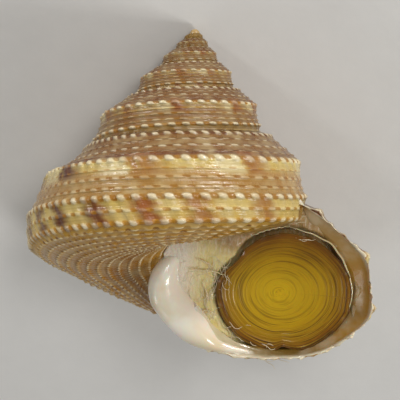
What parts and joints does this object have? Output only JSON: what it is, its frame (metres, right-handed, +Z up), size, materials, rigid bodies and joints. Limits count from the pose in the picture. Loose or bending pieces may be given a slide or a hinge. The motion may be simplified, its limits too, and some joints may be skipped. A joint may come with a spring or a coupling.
{
  "type": "calliostoma consors shell",
  "caption": "Beaded conical top shell lying on its back, mouth up, with its golden operculum set in the mouth on a plug of cotton wool.",
  "frame": {"origin": "centre of the bounding box in plan, at the plane the shell rests on", "axes": "+Z up from the resting plane, with the mouth of the shell facing up; -Y towards the viewer who looks down into the mouth; the apex points down and towards -Y"},
  "size_m": [0.0256, 0.0232, 0.0174],
  "materials": {
    "shell_wall": "glossy natural shell, tan with brown flames and white beads",
    "horn": "glossy golden brown horn with fine rings",
    "cotton_wool": "matted white cotton wool with clear dried glue"
  },
  "bodies": {
    "root": {"shell": "shell_wall", "operculum": "horn", "cotton_plug": "cotton_wool"}
  },
  "joints": []
}
